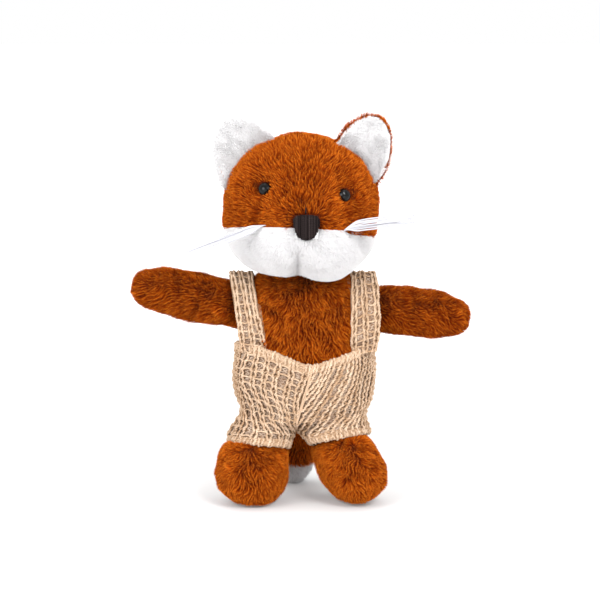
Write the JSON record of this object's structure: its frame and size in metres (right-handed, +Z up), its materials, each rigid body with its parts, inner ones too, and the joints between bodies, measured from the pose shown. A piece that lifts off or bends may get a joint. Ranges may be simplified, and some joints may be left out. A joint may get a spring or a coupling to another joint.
{
  "type": "plush fox",
  "caption": "Small standing plush fox toy in knitted dungarees, with its arms out. Its head, ears, arms, legs and tail bend at their seams.",
  "frame": {"origin": "on the floor, under the middle of the toy's bounding box", "axes": "+Z up, -Y the way the fox faces, +X to the right as seen from its front"},
  "size_m": [0.1314, 0.0785, 0.1507],
  "materials": {
    "brown_plush": "short pile plush",
    "white_plush": "short pile plush",
    "whisker_thread": "stiff thread",
    "beige_knit": "open knit",
    "black_thread": "satin stitch",
    "black_bead": "polished",
    "washer_plastic": "moulded"
  },
  "bodies": {
    "torso": {"torso": "brown_plush", "dungarees": "beige_knit", "strap_left": "beige_knit", "strap_right": "beige_knit"},
    "head": {"head": "brown_plush", "cheek_panel_left": "white_plush", "cheek_panel_right": "white_plush", "nose": "black_thread", "eye_left": "black_bead", "eye_right": "black_bead", "eye_washer_left": "washer_plastic", "eye_washer_right": "washer_plastic", "whiskers_left": "whisker_thread", "whiskers_right": "whisker_thread"},
    "ear_left": {"ear_lining_left": "white_plush", "ear_back_left": "brown_plush"},
    "ear_right": {"ear_lining_right": "white_plush", "ear_back_right": "brown_plush"},
    "arm_left": {"arm_left": "brown_plush"},
    "arm_right": {"arm_right": "brown_plush"},
    "leg_left": {"leg_left": "brown_plush"},
    "leg_right": {"leg_right": "brown_plush"},
    "tail": {"tail": "brown_plush", "tail_tip": "white_plush"}
  },
  "joints": [
    {"name": "neck_turn", "type": "hinge", "parent": "torso", "child": "head", "pos_m": [0, 0, 0.091], "axis": [0, 0, 1], "range_deg": [-12, 12], "stiffness_Nm_per_rad": 0.05},
    {"name": "shoulder_left", "type": "hinge", "parent": "torso", "child": "arm_left", "pos_m": [-0.0228, 0, 0.0764], "axis": [0, 1, 0], "range_deg": [-41.5, 6.5], "stiffness_Nm_per_rad": 0.03},
    {"name": "shoulder_right", "type": "hinge", "parent": "torso", "child": "arm_right", "pos_m": [0.0252, 0, 0.076], "axis": [0, -1, 0], "range_deg": [-24, 24], "stiffness_Nm_per_rad": 0.03},
    {"name": "hip_left", "type": "hinge", "parent": "torso", "child": "leg_left", "pos_m": [-0.0126, 0, 0.043], "axis": [-1, 0, 0], "range_deg": [-8, 35], "stiffness_Nm_per_rad": 0.3, "deforming": ["dungarees"]},
    {"name": "hip_right", "type": "hinge", "parent": "torso", "child": "leg_right", "pos_m": [0.014, 0, 0.043], "axis": [-1, 0, 0], "range_deg": [-8, 35], "stiffness_Nm_per_rad": 0.3, "deforming": ["dungarees"]},
    {"name": "tail_lift", "type": "hinge", "parent": "torso", "child": "tail", "pos_m": [0.00043, 0.01599, 0.03808], "axis": [1, 0, 0], "range_deg": [0, 40], "stiffness_Nm_per_rad": 0.02},
    {"name": "ear_left", "type": "hinge", "parent": "head", "child": "ear_left", "pos_m": [-0.02025, -0.002, 0.13305], "axis": [-0.6692, 0, -0.7431], "range_deg": [-8, 12], "stiffness_Nm_per_rad": 0.002},
    {"name": "ear_right", "type": "hinge", "parent": "head", "child": "ear_right", "pos_m": [0.0215, -0.002, 0.1332], "axis": [0.6845, 0, -0.729], "range_deg": [-8, 12], "stiffness_Nm_per_rad": 0.002}
  ]
}
